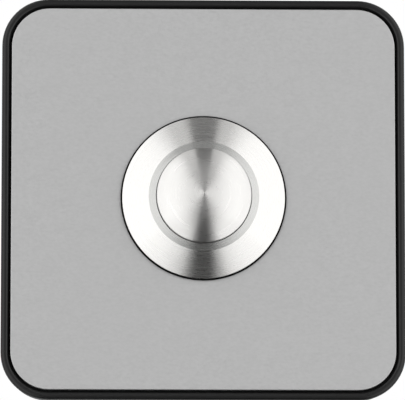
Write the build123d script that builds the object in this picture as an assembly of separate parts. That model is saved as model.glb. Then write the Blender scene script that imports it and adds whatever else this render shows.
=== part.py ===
from build123d import *
import math
import os

# Flush bell push: a metal plate framed by a moulded wall base, with a turned push-button switch through its middle.
# Each piece is drawn as seen from the front: x right, y up, z out of the wall, with z = 0 on the wall. Millimetres.

# Wall base, moulded
frame_width = 60.2
frame_corner = 7.05
face_height = 6.5  # plate face above the wall
rim_width = 1.12
rim_land = 0.17  # flat of the rim between its roundings
rim_inner_radius = 0.35
rim_drop = 0.1  # crest of the rim behind the plate face
parting_land = 0.1  # straight band between the rim's rounding and the drafted side
side_draft = 4.0  # degrees
plate_gap = 0.37
corner_relief = 0.15  # extra rounding of the plate's corners
ledge_width = 2.6
pocket_corner = 4.0
floor_thickness = 2.5
opening_margin = 1.4  # round the corners of the nut
wall_screw_spacing = 44.0
wall_screw_hole_r = 2.1

# Seal at the wall
seal_margin = 1.3  # wall of the base outside the seal's groove
seal_width = 1.6
seal_depth = 1.6
seal_relief = 0.05

# Face plate
plate_thickness = 1.5
plate_edge_width = 0.08
plate_edge_drop = 0.04

# Retaining clip, folded from spring strip
clip_thickness = 0.5
clip_ring_margin = 1.5  # outside the washer
clip_arm_width = 7.0
clip_leg_reach = 27.6  # from the middle to the legs, along a diagonal
clip_bend_radius = 0.5
clip_barb_reach = 0.8
clip_barb_height = 1.2  # above the wall
clip_tip_height = 0.5
clip_slot_clearance = 0.3
clip_catch_height = 1.9  # step in the slot that the barb snaps under
clip_kink_lead = 0.1  # the leg starts to lean out this far before the step
clip_barb_room = 0.5

# Switch body, turned
bezel_r = 12.1
bezel_edge = 0.35
bezel_shoulder = 1.1  # bezel beyond the thread
crown_height = 2.45  # outer edge of the crown above the plate face
crown_rise = 0.3  # from there up to the mouth
crown_width = 1.06
thread_depth = 0.55
barrel_length = 16.2  # behind the plate face
hole_clearance = 0.1
lip_height = 0.2  # underside of the lip above the plate face
cover_seat_depth = 9.0  # step in the bore that the guide cover meets, behind the plate face
barrel_wall = 1.35
cover_seat = 0.65
lip_width = 1.3

# Gasket, washer and nut
gasket_thickness = 0.3
gasket_overhang = 0.26
washer_thickness = 0.8
washer_width = 3.0  # beyond the thread
washer_teeth = 8
washer_notch_width = 2.2
washer_notch_depth = 1.4
nut_sides = 6
nut_wall = 2.5  # from the thread to a flat
nut_thickness = 3.0
nut_chamfer = 0.7
thread_clearance = 0.05

# Button cap
cap_edge_height = 3.6  # above the plate face
dome_rise = 2.0
cap_edge_break = 0.06
cap_clearance = 0.12
piston_clearance = 0.15
piston_length = 3.6
seat_gap = 0.05
travel = 1.5
cap_wall = 1.05
cap_roof_depth = 0.2  # roof of the hollow behind the plate face
ring_section = 1.3
ring_height = 1.4
ring_clearance = 0.04

# Plunger
plug_depth = 1.7
plug_clearance = 0.03
stem_r = 2.4
stem_clearance = 0.1
pin_r = 1.3
pin_head_r = 1.9
pin_head_thickness = 0.7

# Return spring, coiled from square wire
spring_wire = 0.7
spring_room = 1.05  # round the spring in the cap
spring_turns = 3
spring_relief = 0.03

# Guide cover and contacts
cover_thickness = 1.2
cover_boss_room = 0.55  # round the boss in the spring
cover_boss_height = 2.0
insert_clearance = 0.1
bridge_room = 0.8  # round the bridge in the chamber
bridge_thickness = 0.4
bridge_clearance = 0.1
bridge_drop = 1.5  # bridge below the guide cover
contact_gap = 0.05  # left between bridge and contacts at full travel
contact_room = 0.6  # between contact and chamber wall
contact_r = 1.9
contact_height = 0.85

# Switch base, moulded, and its circlip
chamber_wall = 2.0
base_step_depth = 14.3  # behind the plate face
base_step_width = 1.0
base_floor = 2.5
barrier_thickness = 1.2
barrier_height = 3.1
circlip_thickness = 0.7
circlip_bite = 0.5
circlip_relief = 0.05
circlip_opening = 50.0  # degrees

# Terminals
terminal_thickness = 0.8
terminal_width = 6.0
terminal_margin = 0.4
terminal_screw_r = 1.25
terminal_screw_reach = 2.0  # thread inside the contact
terminal_head_r = 2.2
terminal_head_height = 1.5
terminal_slot_width = 0.6
terminal_slot_depth = 0.8
terminal_washer_width = 4.6
terminal_washer_thickness = 0.5

# Levels and sizes that follow
rim_radius = rim_width - rim_land - rim_inner_radius
rim_crest = face_height - rim_drop
parting_height = rim_crest - rim_radius - parting_land
recess_width = frame_width - 2 * rim_width
recess_corner = frame_corner - rim_width
plate_width = recess_width - 2 * plate_gap
plate_corner = recess_corner - plate_gap + corner_relief
plate_back = face_height - plate_thickness
pocket_width = recess_width - 2 * ledge_width
wall_width = frame_width - 2 * parting_height * math.tan(math.radians(side_draft))
wall_corner = frame_corner - (frame_width - wall_width) / 2

thread_r = bezel_r - bezel_shoulder
hole_r = thread_r + hole_clearance
barrel_r = thread_r - thread_depth
rear_bore_r = barrel_r - barrel_wall
bore_r = rear_bore_r - cover_seat
mouth_r = bore_r - lip_width
crown_r = mouth_r + crown_width
bezel_base = face_height + gasket_thickness
crown_z = face_height + crown_height
mouth_z = crown_z + crown_rise
lip_z = face_height + lip_height
cover_top = face_height - cover_seat_depth
barrel_end = face_height - barrel_length
clip_back = plate_back - clip_thickness
washer_back = clip_back - washer_thickness
nut_back = washer_back - nut_thickness
washer_r = thread_r + washer_width
clip_ring_r = washer_r + clip_ring_margin
nut_flat_r = thread_r + nut_wall
nut_corner_r = nut_flat_r / math.cos(math.pi / nut_sides)
switch_opening_r = nut_corner_r + opening_margin

cap_r = mouth_r - cap_clearance
cap_hollow_r = cap_r - cap_wall
spring_r = cap_hollow_r - spring_room - spring_wire / 2
piston_r = bore_r - piston_clearance
piston_top = lip_z - seat_gap
piston_bottom = piston_top - piston_length
cap_roof = face_height - cap_roof_depth
cap_edge_z = face_height + cap_edge_height
cap_apex_z = cap_edge_z + dome_rise
socket_r = stem_r + plug_clearance
ring_z = (piston_top + piston_bottom) / 2
ring_groove_r = bore_r - ring_section - 2 * ring_clearance
ring_groove_width = ring_height + 2 * ring_clearance

insert_r = rear_bore_r - insert_clearance
chamber_r = insert_r - chamber_wall
bridge_r = chamber_r - bridge_room
contact_offset = chamber_r - contact_room - contact_r
cover_boss_r = spring_r - spring_wire / 2 - cover_boss_room
base_rear_r = insert_r - base_step_width
cover_back = cover_top - cover_thickness
bridge_top = cover_back - bridge_drop
bridge_bottom = bridge_top - bridge_thickness
contact_top = bridge_bottom - travel - contact_gap
chamber_floor = contact_top - contact_height
base_step = face_height - base_step_depth
base_back = chamber_floor - base_floor
terminal_back = base_back - terminal_thickness
terminal_washer_back = terminal_back - terminal_washer_thickness
circlip_top = base_step - circlip_relief
circlip_r = rear_bore_r + circlip_bite
DIAGONALS = (45, 135, 225, 315)
SIDES = {"left": -1, "right": 1}


def turned(*outline):
    """A solid of revolution about the switch axis from (radius, z) points."""
    return revolve(make_face(Plane.XZ * Polyline(*outline, close=True)), Axis.Z)


def ring(outer_r, inner_r, bottom, top):
    """A flat ring about the switch axis."""
    return extrude(Pos(0, 0, bottom) * (Circle(outer_r) - Circle(inner_r)), top - bottom)


def disc(radius, bottom, top, x=0.0):
    """A round disc or hole."""
    return extrude(Pos(x, 0, bottom) * Circle(radius), top - bottom)


def square(width, corner, bottom, top):
    """A square slab with rounded corners."""
    return extrude(Pos(0, 0, bottom) * RectangleRounded(width, width, corner), top - bottom)


def block(low, high):
    """A box between two corners."""
    size = [b - a for a, b in zip(low, high)]
    middle = [(a + b) / 2 for a, b in zip(low, high)]
    return Pos(*middle) * Box(*size)


def clip_slot():
    """The slot in the base's floor for one leg of the clip, with the step that its barb snaps under."""
    half_width = clip_arm_width / 2 + clip_slot_clearance
    inner = clip_leg_reach - clip_thickness / 2 - clip_slot_clearance
    outer = clip_leg_reach + clip_thickness / 2 + clip_slot_clearance
    room = clip_leg_reach + clip_thickness / 2 + clip_barb_reach + clip_barb_room
    upper = block((inner, -half_width, 0), (outer, half_width, floor_thickness))
    return upper + block((inner, -half_width, 0), (room, half_width, clip_catch_height))


def wall_base():
    outline = Pos(0, 0, parting_height) * RectangleRounded(frame_width, frame_width, frame_corner)
    body = extrude(outline, amount=-parting_height, taper=side_draft)
    body += extrude(outline, amount=rim_crest - parting_height)
    body = fillet(body.faces().sort_by(Axis.Z)[-1].edges(), rim_radius)
    body -= square(recess_width, recess_corner, plate_back, face_height)
    rim_land_face = body.faces().sort_by(Axis.Z)[-1]
    body = body.fillet(rim_inner_radius, rim_land_face.inner_wires()[0].edges())
    body -= square(pocket_width, pocket_corner, floor_thickness, plate_back)
    body -= disc(switch_opening_r, 0, floor_thickness)
    for side in SIDES.values():
        body -= disc(wall_screw_hole_r, 0, floor_thickness, side * wall_screw_spacing / 2)
    for angle in DIAGONALS:
        body -= Rot(0, 0, angle) * clip_slot()
    return body - seal_ring(seal_width, 0, seal_depth)


def seal_ring(width, bottom, top):
    """A square ring along the middle of the seal's groove."""
    middle = wall_width - 2 * seal_margin - seal_width
    corner = wall_corner - seal_margin - seal_width / 2
    outer = square(middle + width, corner + width / 2, bottom, top)
    return outer - square(middle - width, corner - width / 2, bottom, top)


def wall_seal():
    return seal_ring(seal_width - 2 * seal_relief, seal_relief, seal_depth)


def face_plate():
    plate = square(plate_width, plate_corner, plate_back, face_height)
    face = plate.faces().sort_by(Axis.Z)[-1]
    plate = chamfer(face.edges(), plate_edge_width, plate_edge_drop, reference=face)
    return plate - disc(hole_r, plate_back, face_height)


def retaining_clip():
    clip = disc(clip_ring_r, clip_back, plate_back)
    middle = (clip_back + plate_back) / 2
    kink = (clip_leg_reach, clip_catch_height + clip_kink_lead)
    barb = (clip_leg_reach + clip_barb_reach, clip_barb_height)
    arm_start = (clip_ring_r - clip_arm_width / 2, middle)
    fold = FilletPolyline(arm_start, (clip_leg_reach, middle), kink, radius=clip_bend_radius)
    fold += Polyline(kink, barb, (clip_leg_reach, clip_tip_height))
    strip = Plane.XZ * trace(fold, clip_thickness)
    arm = extrude(strip, clip_arm_width / 2, both=True)
    for angle in DIAGONALS:
        clip += Rot(0, 0, angle) * arm
    return clip - disc(hole_r, clip_back, plate_back)


def switch_body():
    groove_top = circlip_top
    groove_bottom = circlip_top - circlip_thickness - circlip_relief
    return turned(
        (mouth_r, mouth_z),
        (crown_r, crown_z),
        (bezel_r, bezel_base + bezel_edge),
        (bezel_r, bezel_base),
        (barrel_r, bezel_base),
        (barrel_r, barrel_end),
        (rear_bore_r, barrel_end),
        (rear_bore_r, groove_bottom),
        (circlip_r + circlip_relief, groove_bottom),
        (circlip_r + circlip_relief, groove_top),
        (rear_bore_r, groove_top),
        (rear_bore_r, cover_top),
        (bore_r, cover_top),
        (bore_r, lip_z),
        (mouth_r, lip_z),
    )


def panel_gasket():
    return ring(bezel_r + gasket_overhang, hole_r, face_height, bezel_base)


def lock_washer():
    washer = ring(washer_r, hole_r, washer_back, clip_back)
    notch = block(
        (hole_r - washer_notch_depth, -washer_notch_width / 2, washer_back),
        (hole_r + washer_notch_depth, washer_notch_width / 2, clip_back),
    )
    for index in range(washer_teeth):
        washer -= Rot(0, 0, index * 360 / washer_teeth) * notch
    return washer


def lock_nut():
    hexagon = RegularPolygon(nut_corner_r, nut_sides)
    nut = extrude(Pos(0, 0, nut_back) * hexagon, nut_thickness)
    nut &= turned(
        (0, nut_back),
        (nut_flat_r, nut_back),
        (nut_corner_r, nut_back + nut_chamfer),
        (nut_corner_r, washer_back),
        (0, washer_back),
    )
    return nut - disc(barrel_r + thread_clearance, nut_back, washer_back)


def button_cap():
    rim_r = cap_r - cap_edge_break
    dome_r = (rim_r**2 + dome_rise**2) / (2 * dome_rise)
    half_angle = math.asin(rim_r / dome_r) / 2
    dome_middle = (dome_r * math.sin(half_angle), cap_apex_z - dome_r * (1 - math.cos(half_angle)))
    dome = ThreePointArc((0, cap_apex_z), dome_middle, (rim_r, cap_edge_z))
    sides = Polyline(
        (rim_r, cap_edge_z),
        (cap_r, cap_edge_z - cap_edge_break),
        (cap_r, piston_top),
        (piston_r, piston_top),
        (piston_r, ring_z + ring_groove_width / 2),
        (ring_groove_r, ring_z + ring_groove_width / 2),
        (ring_groove_r, ring_z - ring_groove_width / 2),
        (piston_r, ring_z - ring_groove_width / 2),
        (piston_r, piston_bottom),
        (cap_hollow_r, piston_bottom),
        (cap_hollow_r, cap_roof),
        (socket_r, cap_roof),
        (socket_r, cap_roof + plug_depth),
        (0, cap_roof + plug_depth),
        (0, cap_apex_z),
    )
    return revolve(make_face(Plane.XZ * (dome + sides)), Axis.Z)


def cap_seal():
    outer_r = bore_r - ring_clearance
    return ring(outer_r, outer_r - ring_section, ring_z - ring_height / 2, ring_z + ring_height / 2)


def plunger():
    return turned(
        (0, cap_roof + plug_depth - plug_clearance),
        (stem_r, cap_roof + plug_depth - plug_clearance),
        (stem_r, bridge_top),
        (pin_r, bridge_top),
        (pin_r, bridge_bottom),
        (pin_head_r, bridge_bottom),
        (pin_head_r, bridge_bottom - pin_head_thickness),
        (0, bridge_bottom - pin_head_thickness),
    )


def return_spring():
    bottom = cover_top + spring_relief
    top = cap_roof - spring_relief
    path = Helix(pitch=(top - bottom) / spring_turns, height=top - bottom, radius=spring_r)
    start = Plane(origin=path @ 0, x_dir=(1, 0, 0), z_dir=path % 0)
    wire = sweep(start * Rectangle(spring_wire, spring_wire), path=path, is_frenet=True)
    ground_ends = disc(spring_r + spring_wire, bottom, top)
    return (Pos(0, 0, bottom) * wire) & ground_ends


def guide_cover():
    guide_r = stem_r + stem_clearance
    return turned(
        (guide_r, cover_back),
        (insert_r, cover_back),
        (insert_r, cover_top),
        (cover_boss_r, cover_top),
        (cover_boss_r, cover_top + cover_boss_height),
        (guide_r, cover_top + cover_boss_height),
    )


def contact_bridge():
    return ring(bridge_r, pin_r + bridge_clearance, bridge_bottom, bridge_top)


def switch_base():
    base = turned(
        (0, base_back),
        (base_rear_r, base_back),
        (base_rear_r, base_step),
        (insert_r, base_step),
        (insert_r, cover_back),
        (chamber_r, cover_back),
        (chamber_r, chamber_floor),
        (0, chamber_floor),
    )
    half = barrier_thickness / 2
    barrier = block((-half, -base_rear_r, base_back - barrier_height), (half, base_rear_r, base_back))
    base += barrier & disc(base_rear_r, base_back - barrier_height, base_back)
    for side in SIDES.values():
        base -= disc(contact_r, base_back, chamber_floor, side * contact_offset)
    return base


def base_circlip():
    clip = ring(circlip_r, base_rear_r + circlip_relief, circlip_top - circlip_thickness, circlip_top)
    reach = 2 * circlip_r
    spread = reach * math.tan(math.radians(circlip_opening / 2))
    gap = make_face(Polyline((0, 0), (-spread, reach), (spread, reach), close=True))
    return clip - extrude(Pos(0, 0, circlip_top - circlip_thickness) * gap, circlip_thickness)


def terminal(side):
    """A fixed contact, tapped from behind, with its terminal plate behind the switch base."""
    x = side * contact_offset
    inner = side * (barrier_thickness / 2 + terminal_margin)
    outer = side * base_rear_r
    plate = block(
        (min(inner, outer), -terminal_width / 2, terminal_back),
        (max(inner, outer), terminal_width / 2, base_back),
    )
    piece = plate & disc(base_rear_r - terminal_margin, terminal_back, base_back)
    piece += disc(contact_r, base_back, contact_top, x)
    return piece - disc(terminal_screw_r, terminal_back, base_back + terminal_screw_reach, x)


def terminal_screws():
    screws = []
    for side in SIDES.values():
        x = side * contact_offset
        head_back = terminal_washer_back - terminal_head_height
        screw = disc(terminal_head_r, head_back, terminal_washer_back, x)
        thread_top = base_back + terminal_screw_reach - thread_clearance
        screw += disc(terminal_screw_r - thread_clearance, terminal_washer_back, thread_top, x)
        slot = block(
            (x - terminal_slot_width / 2, -terminal_head_r, head_back),
            (x + terminal_slot_width / 2, terminal_head_r, head_back + terminal_slot_depth),
        )
        screws.append(screw - slot)
    return Compound(screws)


def terminal_washers():
    washers = []
    for side in SIDES.values():
        half = terminal_washer_width / 2
        x = side * contact_offset
        flat = block((x - half, -half, terminal_washer_back), (x + half, half, terminal_back))
        washers.append(flat - disc(terminal_screw_r, terminal_washer_back, terminal_back, x))
    return Compound(washers)


pieces = {
    "wall_base": wall_base(),
    "wall_seal": wall_seal(),
    "face_plate": face_plate(),
    "retaining_clip": retaining_clip(),
    "switch_body": switch_body(),
    "panel_gasket": panel_gasket(),
    "lock_washer": lock_washer(),
    "lock_nut": lock_nut(),
    "button_cap": button_cap(),
    "cap_seal": cap_seal(),
    "plunger": plunger(),
    "return_spring": return_spring(),
    "guide_cover": guide_cover(),
    "contact_bridge": contact_bridge(),
    "switch_base": switch_base(),
    "base_circlip": base_circlip(),
    "terminal_left": terminal(SIDES["left"]),
    "terminal_right": terminal(SIDES["right"]),
    "terminal_screws": terminal_screws(),
    "terminal_washers": terminal_washers(),
}

# The wall is the plane y = 0 of the finished part, with the front towards -Y and +Z up
ON_THE_WALL = Rot(90, 0, 0)
os.makedirs("parts", exist_ok=True)
for name, piece in pieces.items():
    export_step(ON_THE_WALL * piece, f"parts/{name}.step")
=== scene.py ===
"""Studio picture of a bell push: its finishes, thread and return spring, the light and the camera."""

import logging
import math
from dataclasses import dataclass, replace
from enum import Enum, auto
from typing import Any

import bmesh
import bpy
from bpy.types import Material, Node, NodeSocket, NodeTree, Object
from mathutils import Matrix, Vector

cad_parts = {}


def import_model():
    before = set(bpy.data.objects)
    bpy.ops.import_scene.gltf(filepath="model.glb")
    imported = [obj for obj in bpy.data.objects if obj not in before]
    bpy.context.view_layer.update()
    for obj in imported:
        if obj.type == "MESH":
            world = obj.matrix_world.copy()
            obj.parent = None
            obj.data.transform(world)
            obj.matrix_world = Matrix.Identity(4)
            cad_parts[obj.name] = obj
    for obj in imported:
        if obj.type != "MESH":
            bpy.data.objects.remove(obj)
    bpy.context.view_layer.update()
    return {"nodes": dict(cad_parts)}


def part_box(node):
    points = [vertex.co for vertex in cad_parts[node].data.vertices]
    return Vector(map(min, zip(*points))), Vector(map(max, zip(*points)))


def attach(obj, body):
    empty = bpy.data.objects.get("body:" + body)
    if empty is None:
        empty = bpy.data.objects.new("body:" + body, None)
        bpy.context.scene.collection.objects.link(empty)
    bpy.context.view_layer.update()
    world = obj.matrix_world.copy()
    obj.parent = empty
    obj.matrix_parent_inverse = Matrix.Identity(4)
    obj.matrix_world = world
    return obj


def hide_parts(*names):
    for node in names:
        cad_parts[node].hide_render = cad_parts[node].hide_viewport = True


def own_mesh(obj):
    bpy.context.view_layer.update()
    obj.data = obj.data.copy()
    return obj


frame: dict[str, Any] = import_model()

LOG = logging.getLogger("bell_push")
MM = 0.001
# Keeps the two directions across the switch axis.
ACROSS = (1, 0, 1)
# Part of a full turn that lays the long side of a reflection across the marks.
CROSSWISE = 0.25
# How often the marks repeat inside each other at half the size.
MARK_DETAIL = 3.0
# Inner and outer radius of the flat crown round the mouth of the switch body, in millimetres, whose colour
# is darkened there as painted shade.
CROWN_MM = (7.1, 8.21)
# Half the width, the corner radius and the depth of the recess inside the base's rim, in millimetres.
RECESS_MM = (29.0, 5.95, 4.8)
# Height of the plate's face above the wall, in millimetres.
FACE_MM = 6.5


def linear(colour: str) -> tuple[float, float, float, float]:
    """Turns an sRGB hex colour into the linear colour that shaders take.

    Args:
        colour: Six hex digits after a hash.

    Returns:
        Linear red, green and blue, and an alpha of 1.
    """
    channels = [int(colour[i : i + 2], 16) / 255 for i in (1, 3, 5)]
    # The sRGB curve: straight near black and a power above it.
    light = [c / 12.92 if c <= 0.04045 else ((c + 0.055) / 1.055) ** 2.4 for c in channels]
    return (*light, 1.0)


def add_node(tree: NodeTree, kind: str, inputs: dict[Any, Any] | None = None, **settings: Any) -> Node:
    """Adds a shader node with its settings and links.

    Args:
        tree: The node tree that gets the node.
        kind: The node's type name.
        inputs: For each input, by name or number, a plain value or the output socket that feeds it.
        settings: Properties of the node itself.

    Returns:
        The new node.
    """
    node = tree.nodes.new(kind)
    for name, value in settings.items():
        setattr(node, name, value)
    for name, value in (inputs or {}).items():
        if isinstance(value, NodeSocket):
            tree.links.new(value, node.inputs[name])
        else:
            node.inputs[name].default_value = value
    return node


class Lay(Enum):
    """The way that the marks of a surface run."""

    EVEN = auto()
    TURNED = auto()


@dataclass(frozen=True)
class Finish:
    """A surface, from what it is made of and how it was made.

    Attributes:
        name: Material and process.
        colour: sRGB hex colour of the bare surface.
        roughness: Shader roughness.
        metallic: 1 for a metal.
        lay: The way that the marks run.
        grain_mm: Width of one mark.
        stretch: Length of one mark along X as a multiple of its width.
        relief_mm: Depth of the marks.
        mottle: Share by which the marks raise and lower the roughness.
        shade: Share by which the marks lighten and darken the colour.
        anisotropy: Stretch of the reflections across the marks.
        specular: Strength of a plastic's shine, where 0.5 is a bare smooth skin.
        shade_band_mm: Inner and outer radius of a band round the switch axis whose colour is darkened as
            painted shade.
        painted_shade_colour: sRGB hex colour of that band of painted shade.
        recess_mm: Half the width, corner radius and depth of a square recess that is left rougher.
        recess_roughness: Shader roughness inside that recess.
    """

    name: str
    colour: str
    roughness: float
    metallic: float = 0.0
    lay: Lay = Lay.EVEN
    grain_mm: float = 0.2
    stretch: float = 1.0
    relief_mm: float = 0.004
    mottle: float = 0.15
    shade: float = 0.1
    anisotropy: float = 0.0
    specular: float = 0.5
    shade_band_mm: tuple[float, float] | None = None
    painted_shade_colour: str = "#FFFFFF"
    recess_mm: tuple[float, float, float] | None = None
    recess_roughness: float = 0.85

    def marks(self, tree: NodeTree) -> NodeSocket:
        """Makes the pattern of the surface's marks.

        Args:
            tree: The material's node tree.

        Returns:
            A socket that goes from 0 to 1 across the marks.
        """
        place = add_node(tree, "ShaderNodeTexCoord").outputs["Object"]
        width = self.grain_mm * MM
        density = (1 / (width * self.stretch), 1 / width, 1 / width)
        scaled = add_node(tree, "ShaderNodeVectorMath", {0: place, 1: density}, operation="MULTIPLY")
        grains = scaled.outputs["Vector"]
        if self.lay is Lay.TURNED:
            flat = add_node(tree, "ShaderNodeVectorMath", {0: grains, 1: ACROSS}, operation="MULTIPLY")
            spoke = {0: flat.outputs["Vector"]}
            radius = add_node(tree, "ShaderNodeVectorMath", spoke, operation="LENGTH")
            heading = add_node(tree, "ShaderNodeVectorMath", spoke, operation="NORMALIZE")
            outwards = add_node(tree, "ShaderNodeCombineXYZ", {"Y": radius.outputs["Value"]})
            ring = {0: heading.outputs["Vector"], 1: outwards.outputs["Vector"]}
            grains = add_node(tree, "ShaderNodeVectorMath", ring, operation="ADD").outputs["Vector"]
        noise = add_node(tree, "ShaderNodeTexNoise", {"Vector": grains, "Scale": 1.0, "Detail": MARK_DETAIL})
        return noise.outputs["Fac"]

    def with_painted_shade(self, tree: NodeTree) -> Any:
        """Finds the surface's colour, with its band of painted shade if it has one.

        Args:
            tree: The material's node tree.

        Returns:
            A linear colour, or the socket that gives it.
        """
        if self.shade_band_mm is None:
            return linear(self.colour)
        place = add_node(tree, "ShaderNodeTexCoord").outputs["Object"]
        flat = add_node(tree, "ShaderNodeVectorMath", {0: place, 1: ACROSS}, operation="MULTIPLY")
        radius = add_node(tree, "ShaderNodeVectorMath", {0: flat.outputs["Vector"]}, operation="LENGTH")
        # The band darkens the colour in a ring round the axis: painted shade beside the cap.
        inner, outer = (r * MM for r in self.shade_band_mm)
        band = {0: radius.outputs["Value"], 1: (inner + outer) / 2, 2: (outer - inner) / 2}
        within = add_node(tree, "ShaderNodeMath", band, operation="COMPARE")
        tones = {"Factor": within.outputs["Value"], "A": linear(self.colour), "B": linear(self.painted_shade_colour)}
        return add_node(tree, "ShaderNodeMix", tones, data_type="RGBA").outputs["Result"]

    def tone(self, tree: NodeTree, marks: NodeSocket) -> NodeSocket:
        """Shades the surface's colour by its marks.

        Args:
            tree: The material's node tree.
            marks: The pattern of the marks.

        Returns:
            A socket with the linear colour.
        """
        span = {"Value": marks, "To Min": 1 - self.shade, "To Max": 1 + self.shade}
        shade = add_node(tree, "ShaderNodeMapRange", span)
        layers = {"Factor": 1.0, "A": self.with_painted_shade(tree), "B": shade.outputs["Result"]}
        mix = add_node(tree, "ShaderNodeMix", layers, data_type="RGBA", blend_type="MULTIPLY")
        return mix.outputs["Result"]

    def recessed(self, tree: NodeTree, skin: NodeSocket) -> NodeSocket:
        """Leaves the surface rougher in the square recess behind the plate's face.

        The recess is tested as a rounded cube, with its depth stretched to half its width.

        Args:
            tree: The material's node tree.
            skin: The roughness outside the recess.

        Returns:
            A socket with the roughness.
        """
        half, corner, depth = (size * MM for size in self.recess_mm)
        deep = half / depth
        place = add_node(tree, "ShaderNodeTexCoord").outputs["Object"]
        cube = {0: place, 1: (1, deep, 1), 2: (0, deep * FACE_MM * MM, 0)}
        inside = add_node(tree, "ShaderNodeVectorMath", cube, operation="MULTIPLY_ADD")
        spread = add_node(tree, "ShaderNodeVectorMath", {0: inside.outputs["Vector"]}, operation="ABSOLUTE")
        straight = {0: spread.outputs["Vector"], 1: [half - corner] * 3}
        beyond = add_node(tree, "ShaderNodeVectorMath", straight, operation="SUBTRACT")
        bend = add_node(tree, "ShaderNodeVectorMath", {0: beyond.outputs["Vector"]}, operation="MAXIMUM")
        reach = add_node(tree, "ShaderNodeVectorMath", {0: bend.outputs["Vector"]}, operation="LENGTH")
        edge = {0: reach.outputs["Value"], 1: corner}
        within = add_node(tree, "ShaderNodeMath", edge, operation="LESS_THAN")
        levels = {"Factor": within.outputs["Value"], "A": skin, "B": self.recess_roughness}
        return add_node(tree, "ShaderNodeMix", levels).outputs["Result"]

    def gloss(self, tree: NodeTree, marks: NodeSocket) -> NodeSocket:
        """Varies the surface's roughness by its marks.

        Args:
            tree: The material's node tree.
            marks: The pattern of the marks.

        Returns:
            A socket with the roughness.
        """
        least, most = self.roughness * (1 - self.mottle), self.roughness * (1 + self.mottle)
        span = {"Value": marks, "To Min": least, "To Max": most}
        skin = add_node(tree, "ShaderNodeMapRange", span).outputs["Result"]
        return skin if self.recess_mm is None else self.recessed(tree, skin)

    def material(self) -> Material:
        """Makes the material, or finds it when it is already made.

        Returns:
            The material.
        """
        if self.name in bpy.data.materials:
            return bpy.data.materials[self.name]
        material = bpy.data.materials.new(self.name)
        material.use_nodes = True
        tree = material.node_tree
        tree.nodes.clear()
        marks = self.marks(tree)
        relief = {"Height": marks, "Strength": 1.0, "Distance": self.relief_mm * MM}
        surface = {
            "Base Color": self.tone(tree, marks),
            "Metallic": self.metallic,
            "Roughness": self.gloss(tree, marks),
            "Normal": add_node(tree, "ShaderNodeBump", relief).outputs["Normal"],
            "Anisotropic": self.anisotropy,
            "Specular IOR Level": self.specular,
        }
        if self.lay is Lay.TURNED:
            around = add_node(tree, "ShaderNodeTangent", direction_type="RADIAL", axis="Y")
            surface["Tangent"] = around.outputs["Tangent"]
            surface["Anisotropic Rotation"] = CROSSWISE
        shader = add_node(tree, "ShaderNodeBsdfPrincipled", surface)
        add_node(tree, "ShaderNodeOutputMaterial", {"Surface": shader.outputs["BSDF"]})
        return material


# Stainless steel faced on a lathe: its fine rings stretch each reflection outwards, so that the lights at
# the sides become bright fans and the dark front becomes a wedge above and below. The rings are drawn
# several times as wide as the tool leaves them, because they wouldn't show otherwise.
TURNED_STAINLESS = Finish(
    "stainless_steel_turned",
    "#CFCECC",
    roughness=0.27,
    metallic=1.0,
    lay=Lay.TURNED,
    grain_mm=0.3,
    relief_mm=0.002,
    mottle=0.25,
    shade=0.11,
    anisotropy=0.97,
)
# The same steel on the cap, turned finer and rubbed a little softer by fingers.
TURNED_CAP = replace(
    TURNED_STAINLESS,
    name="stainless_steel_turned_cap",
    roughness=0.3,
    grain_mm=0.22,
    relief_mm=0.004,
    mottle=0.33,
    shade=0.06,
    anisotropy=0.955,
)
# The same steel on the switch body, where the crown round the mouth is coloured darker than the cone:
# painted shade that stands in for the shade the proud cap casts on it.
TURNED_BODY = replace(
    TURNED_STAINLESS, name="stainless_steel_turned_body", shade_band_mm=CROWN_MM, painted_shade_colour="#BABAB8"
)
# Rolled aluminium, glass-bead blasted and clear anodised: an even silver grey without clear reflections,
# whose grain still runs a little along the rolling. It is drawn several times as coarse as the beads
# leave it.
BLASTED_ALUMINIUM = Finish(
    "aluminium_bead_blasted",
    "#B3B3B3",
    roughness=0.55,
    metallic=1.0,
    grain_mm=0.33,
    stretch=1.8,
    relief_mm=0.006,
    shade=0.105,
)
# ABS moulded against a spark-eroded tool: matt black with soft, wide highlights on its edges. Inside the
# rim the tool is left as rough as the sparks leave it, so that the gap round the plate stays dark. The
# tool's pits are drawn about twice as wide as they are.
MOULDED_ABS = Finish(
    "abs_moulded_black",
    "#070707",
    roughness=0.36,
    grain_mm=0.25,
    relief_mm=0.003,
    specular=0.35,
    recess_mm=RECESS_MM,
)
# Moulded silicone rubber: black, with hardly a shine.
BLACK_RUBBER = Finish(
    "rubber_moulded_black", "#050505", roughness=0.7, grain_mm=0.3, relief_mm=0.004, specular=0.1
)
# The marks of the fittings below are also drawn coarser than they are, to show at all.
# Brass, nickel plated: a warm grey, smooth metal.
NICKEL_BRASS = Finish(
    "brass_nickel_plated", "#B9B4AA", roughness=0.3, metallic=1.0, grain_mm=0.4, relief_mm=0.003
)
# Stainless spring steel, cold rolled or drawn: bright and a little streaky.
SPRING_STEEL = Finish(
    "spring_steel_bright", "#B4B4B6", roughness=0.32, metallic=1.0, grain_mm=0.5, relief_mm=0.003
)
# Steel, zinc plated: a bluish grey, slightly mottled metal.
ZINC_STEEL = Finish(
    "steel_zinc_plated", "#BCBFC4", roughness=0.36, metallic=1.0, grain_mm=0.35, relief_mm=0.003, mottle=0.25
)
# Acetal, moulded: an off-white, waxy plastic.
WHITE_ACETAL = Finish("acetal_moulded_white", "#E8E6DF", roughness=0.4, grain_mm=0.4, relief_mm=0.003)
# Glass-filled polyester, moulded: dark grey with a slightly rough skin.
GLASS_FILLED = Finish(
    "polyester_glass_filled", "#2A2A2C", roughness=0.55, grain_mm=0.3, relief_mm=0.008, mottle=0.25
)
# Phosphor bronze strip: a reddish gold metal.
BRONZE_STRIP = Finish(
    "bronze_rolled", "#C59468", roughness=0.34, metallic=1.0, grain_mm=0.4, relief_mm=0.003
)
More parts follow.
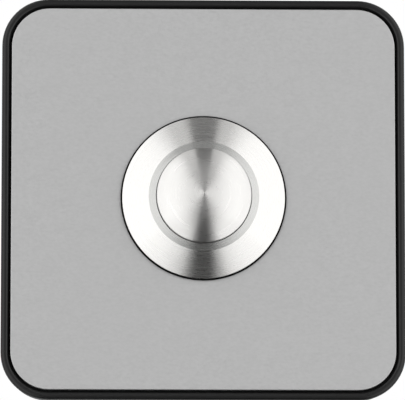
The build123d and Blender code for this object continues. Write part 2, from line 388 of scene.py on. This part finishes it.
# Brass, turned and pressed: a yellow metal.
BRIGHT_BRASS = Finish(
    "brass_turned", "#D2B26A", roughness=0.33, metallic=1.0, grain_mm=0.35, relief_mm=0.003
)
# Matt card of the studio, without marks: it shows only its colour.
MATT_CARD = Finish("card_matt", "#FFFFFF", roughness=0.9, grain_mm=20.0, relief_mm=0.0, shade=0.0)


def dress(finish: Finish, *nodes: str) -> None:
    """Gives CAD nodes their finish.

    Args:
        finish: The finish.
        nodes: Names of the nodes.
    """
    for name in nodes:
        for slot in frame["nodes"][name].material_slots:
            slot.material = finish.material()
        LOG.info("%s: %s", name, finish.name)


@dataclass(frozen=True)
class Station:
    """One copy of a section on its way round the switch axis.

    Attributes:
        turn: Turns from the start.
        radius: Radius of the section's origin, in metres.
        along: Its place along the axis.
        scale: Size of the copy.
    """

    turn: float
    radius: float
    along: float
    scale: float = 1.0

    def point(self, out: float, step: float) -> tuple[float, float, float]:
        """Places a point of the section.

        Args:
            out: Step outwards from the section's origin.
            step: Step along the axis.

        Returns:
            The point in the part's frame.
        """
        angle = 2 * math.pi * self.turn
        radius = self.radius + out * self.scale
        return radius * math.cos(angle), self.along + step * self.scale, radius * math.sin(angle)


def coil(
    name: str, section: list[tuple[float, float]], stations: list[Station], ends: tuple[float, float]
) -> Object:
    """Sweeps a section round the switch axis.

    Args:
        name: Name of the new object.
        section: Closed outline as steps outwards and along the axis, in metres.
        stations: The copies of the section.
        ends: Lowest and highest place along the axis, where the coil is ground flat.

    Returns:
        The new object.
    """
    mesh = bmesh.new()
    rings = []
    for station in stations:
        ring = []
        for out, step in section:
            x, y, z = station.point(out, step)
            ring.append(mesh.verts.new((x, min(max(y, ends[0]), ends[1]), z)))
        rings.append(ring)
    count = len(section)
    for here, there in zip(rings, rings[1:]):
        for i in range(count):
            face = mesh.faces.new((here[i], here[(i + 1) % count], there[(i + 1) % count], there[i]))
            face.smooth = True
    mesh.faces.new(rings[0])
    mesh.faces.new(reversed(rings[-1]))
    bmesh.ops.recalc_face_normals(mesh, faces=mesh.faces)
    data = bpy.data.meshes.new(name)
    mesh.to_mesh(data)
    mesh.free()
    piece = bpy.data.objects.new(name, data)
    bpy.context.collection.objects.link(piece)
    return piece


@dataclass(frozen=True)
class WallUnit:
    """The moulded base with its seal, and the plate that its clip holds."""

    def dress(self) -> None:
        """Finishes the base, seal, plate and clip."""
        dress(MOULDED_ABS, "wall_base")
        dress(BLACK_RUBBER, "wall_seal")
        dress(BLASTED_ALUMINIUM, "face_plate")
        dress(SPRING_STEEL, "retaining_clip")


@dataclass(frozen=True)
class PushButton:
    """The turned switch body and cap, with what clamps them to the plate.

    Attributes:
        root_r: Radius of the barrel between the threads, in metres.
        crest_r: Radius of the thread's crest.
        sunk: Depth of the thread's foot in the barrel.
        pitch: Rise of the thread in one turn.
        foot: Half the width of the thread's foot.
        crest: Half the width of its crest.
        lead_turns: Turns over which the thread runs out at each end.
        blunt: Size of the thread at its very ends, where 1 is full.
        steps: Copies of the section in one turn.
    """

    root_r: float = 10.45 * MM
    crest_r: float = 11.0 * MM
    sunk: float = 0.055 * MM
    pitch: float = 1.0 * MM
    foot: float = 0.45 * MM
    crest: float = 0.07 * MM
    lead_turns: float = 0.5
    blunt: float = 0.1
    steps: int = 72

    def build_thread(self) -> Object:
        """Cuts the thread on the barrel behind the nut.

        Returns:
            The thread.
        """
        first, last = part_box("lock_nut")[1].y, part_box("switch_body")[1].y
        start = first + self.pitch / 2
        turns = (last - first) / self.pitch - 1
        depth = self.crest_r - self.root_r
        section = [
            (-self.sunk, -self.foot),
            (depth, -self.crest),
            (depth, self.crest),
            (-self.sunk, self.foot),
        ]
        stations = []
        for i in range(int(turns * self.steps) + 1):
            turn = i / self.steps
            rise = min(1.0, max(self.blunt, min(turn, turns - turn) / self.lead_turns))
            stations.append(Station(turn, self.root_r, start + turn * self.pitch, rise))
        return coil("barrel_thread", section, stations, (first, last))

    def dress(self) -> None:
        """Finishes the body, cap, gasket, washer and nut, and adds the thread."""
        dress(TURNED_BODY, "switch_body")
        dress(TURNED_CAP, "button_cap")
        dress(BLACK_RUBBER, "panel_gasket", "cap_seal")
        dress(SPRING_STEEL, "lock_washer")
        dress(NICKEL_BRASS, "lock_nut")
        thread = self.build_thread()
        thread.data.materials.append(TURNED_STAINLESS.material())
        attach(thread, "housing")
        LOG.info("%s: %s", thread.name, TURNED_STAINLESS.name)


@dataclass(frozen=True)
class ContactUnit:
    """The plunger, spring and contacts inside the barrel, and the terminals behind it.

    Attributes:
        wire: Width of the spring's square wire, in metres.
        wire_corner: Rounding of the wire's corners.
        corner_steps: Faces of one such rounding.
        turns: Turns of the spring.
        steps: Copies of the wire's section in one turn.
    """

    wire: float = 0.7 * MM
    wire_corner: float = 0.12 * MM
    corner_steps: int = 3
    turns: int = 3
    steps: int = 96

    def wire_section(self) -> list[tuple[float, float]]:
        """Draws the spring wire's section.

        Returns:
            A square outline with rounded corners, round its middle.
        """
        half = self.wire / 2 - self.wire_corner
        outline = []
        for quarter, (side, end) in enumerate(((1, 1), (-1, 1), (-1, -1), (1, -1))):
            for i in range(self.corner_steps + 1):
                angle = math.pi / 2 * (quarter + i / self.corner_steps)
                out = side * half + self.wire_corner * math.cos(angle)
                step = end * half + self.wire_corner * math.sin(angle)
                outline.append((out, step))
        return outline

    def build_spring(self) -> Object:
        """Winds the return spring like its solid, from the guide cover up into the cap, with ground ends.

        Returns:
            The spring.
        """
        low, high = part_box("return_spring")
        radius = high.x - self.wire / 2
        pitch = (high.y - low.y) / self.turns
        stations = []
        for i in range(self.turns * self.steps + 1):
            turn = i / self.steps
            stations.append(Station(turn, radius, high.y - turn * pitch))
        return coil("coil_spring", self.wire_section(), stations, (low.y, high.y))

    def dress(self) -> None:
        """Finishes the plunger, contacts and terminals, and winds the spring."""
        dress(WHITE_ACETAL, "plunger")
        dress(GLASS_FILLED, "guide_cover", "switch_base")
        dress(BRONZE_STRIP, "contact_bridge")
        dress(SPRING_STEEL, "base_circlip")
        dress(BRIGHT_BRASS, "terminal_left", "terminal_right")
        dress(ZINC_STEEL, "terminal_screws", "terminal_washers")
        spring = self.build_spring()
        spring.data.materials.append(SPRING_STEEL.material())
        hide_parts("return_spring")
        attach(spring, "housing")
        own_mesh(spring)
        LOG.info("%s: %s", spring.name, SPRING_STEEL.name)


@dataclass(frozen=True)
class Softbox:
    """A tall lamp with an even face.

    Attributes:
        name: Name of the lamp.
        azimuth: Its direction from the plate, in degrees to the right of straight out.
        distance: From the plate, in metres.
        width: Width of its face.
        height: Height of its face.
        rise: Its middle above the button.
        level: Brightness of its face, where 1 is white.
        lean: Degrees by which its top leans away from the middle.
    """

    name: str
    azimuth: float
    distance: float = 0.8
    width: float = 0.62
    height: float = 2.5
    rise: float = -0.1
    level: float = 1.0
    lean: float = 4.5

    def build(self) -> None:
        """Sets up the lamp."""
        lamp = bpy.data.lights.new(self.name, "AREA")
        lamp.shape = "RECTANGLE"
        lamp.size, lamp.size_y = self.width, self.height
        lamp.energy = self.level * math.pi * self.width * self.height
        turn = math.radians(self.azimuth)
        stand = bpy.data.objects.new(self.name, lamp)
        stand.location = (self.distance * math.sin(turn), -self.distance * math.cos(turn), self.rise)
        stand.rotation_euler = (math.pi / 2, math.copysign(math.radians(self.lean), turn), turn)
        stand.visible_camera = False
        bpy.context.collection.objects.link(stand)


@dataclass(frozen=True)
class Card:
    """A flat matt panel of the studio, upright or lying.

    Attributes:
        name: Name of the panel.
        colour: sRGB hex colour.
        low: Its lowest corner, in metres.
        high: Its highest corner, level with the lowest along one axis.
        seen: Whether the camera sees it, or only its reflection.
    """

    name: str
    colour: str
    low: tuple[float, float, float]
    high: tuple[float, float, float]
    seen: bool = False

    def build(self) -> None:
        """Sets up the panel."""
        (x0, y0, z0), (x1, y1, z1) = self.low, self.high
        corners = [(x0, y0, z0), (x1, y0, z0), (x1, y1, z1), (x0, y1, z1)]
        data = bpy.data.meshes.new(self.name)
        data.from_pydata(corners, [], [(0, 1, 2, 3)])
        paper = replace(MATT_CARD, name=f"{MATT_CARD.name}_{self.name}", colour=self.colour)
        data.materials.append(paper.material())
        panel = bpy.data.objects.new(self.name, data)
        panel.visible_camera = self.seen
        bpy.context.collection.objects.link(panel)


@dataclass(frozen=True)
class Studio:
    """The white room with its pale floor, the lamps, and the cards that the steel mirrors.

    Attributes:
        lamps: The two softboxes.
        cards: The floor, the cards before, above and below the plate, and one behind it.
    """

    lamps: tuple[Softbox, ...] = (
        Softbox("left_softbox", azimuth=-45.0),
        Softbox("right_softbox", azimuth=45.0),
    )
    cards: tuple[Card, ...] = (
        Card("floor", "#E6E6E6", (-4.0, -4.0, -2.5), (4.0, 4.0, -2.5), seen=True),
        Card("lower_card", "#303030", (-0.155, -0.9, -2.4), (0.19, -0.9, -0.17)),
        Card("middle_card", "#D0D0D0", (-0.15, -0.9, -0.17), (0.18, -0.9, 1.05)),
        Card("upper_card", "#747474", (-0.2, -0.9, 1.05), (0.3, -0.9, 1.8)),
        Card("left_upper_flank", "#E4E4E4", (-0.32, -0.91, 0.4), (-0.15, -0.91, 0.85)),
        Card("right_upper_flank", "#E4E4E4", (0.18, -0.91, 0.4), (0.36, -0.91, 0.85)),
        Card("left_lower_flank", "#E4E4E4", (-0.32, -0.91, -0.5), (-0.15, -0.91, -0.2)),
        Card("right_lower_flank", "#E4E4E4", (0.18, -0.91, -0.5), (0.36, -0.91, -0.2)),
        Card("roof_card", "#505050", (-0.25, -0.9, 1.8), (0.36, 0.6, 1.8)),
        Card("table_card", "#202020", (-0.35, -0.9, -1.3), (0.5, 0.6, -1.3)),
        Card("rear_card", "#A8A8A8", (-0.7, 1.0, -0.6), (0.7, 1.0, 0.8)),
    )

    def build(self) -> None:
        """Sets up the white surroundings, the cards and the lamps."""
        world = bpy.data.worlds.new("white_room")
        world.use_nodes = True
        tree = world.node_tree
        tree.nodes.clear()
        light = add_node(tree, "ShaderNodeBackground", {"Color": linear("#FFFFFF"), "Strength": 1.0})
        add_node(tree, "ShaderNodeOutputWorld", {"Surface": light.outputs["Background"]})
        bpy.context.scene.world = world
        for item in (*self.cards, *self.lamps):
            item.build()
            LOG.info("studio: %s", item.name)


@dataclass(frozen=True)
class PictureCamera:
    """The picture's viewpoint: a long lens a little below and to the left of the button's axis.

    Attributes:
        distance: From the plate, in metres.
        azimuth: Degrees to the right of straight out.
        elevation: Degrees above the button's axis.
        focal_px: Focal length in pixels of the picture.
        width_px: Width of the picture.
        sensor_mm: Width of the camera's sensor.
        aim: Point at the middle of the picture.
    """

    distance: float = 0.7
    azimuth: float = -1.63
    elevation: float = -8.09
    focal_px: float = 4700.0
    width_px: float = 405.0
    sensor_mm: float = 36.0
    aim: tuple[float, float, float] = (-0.15 * MM, -6.5 * MM, -0.26 * MM)

    def build(self) -> Object:
        """Sets up the camera.

        Returns:
            The camera.
        """
        data = bpy.data.cameras.new("picture_camera")
        data.sensor_width = self.sensor_mm
        data.lens = self.focal_px / self.width_px * self.sensor_mm
        turn, tilt = math.radians(self.azimuth), math.radians(self.elevation)
        back = Vector((math.sin(turn) * math.cos(tilt), -math.cos(turn) * math.cos(tilt), math.sin(tilt)))
        camera = bpy.data.objects.new("picture_camera", data)
        camera.location = Vector(self.aim) + back * self.distance
        camera.rotation_mode = "QUATERNION"
        camera.rotation_quaternion = (-back).to_track_quat("-Z", "Y")
        bpy.context.collection.objects.link(camera)
        bpy.context.scene.camera = camera
        return camera


def main() -> None:
    """Dresses the part and sets up the studio."""
    logging.basicConfig(level=logging.INFO, format="%(name)s: %(message)s")
    bpy.context.scene.view_settings.view_transform = "Standard"
    WallUnit().dress()
    PushButton().dress()
    ContactUnit().dress()
    Studio().build()
    LOG.info("camera %s", PictureCamera().build().name)


if __name__ == "__main__":
    main()
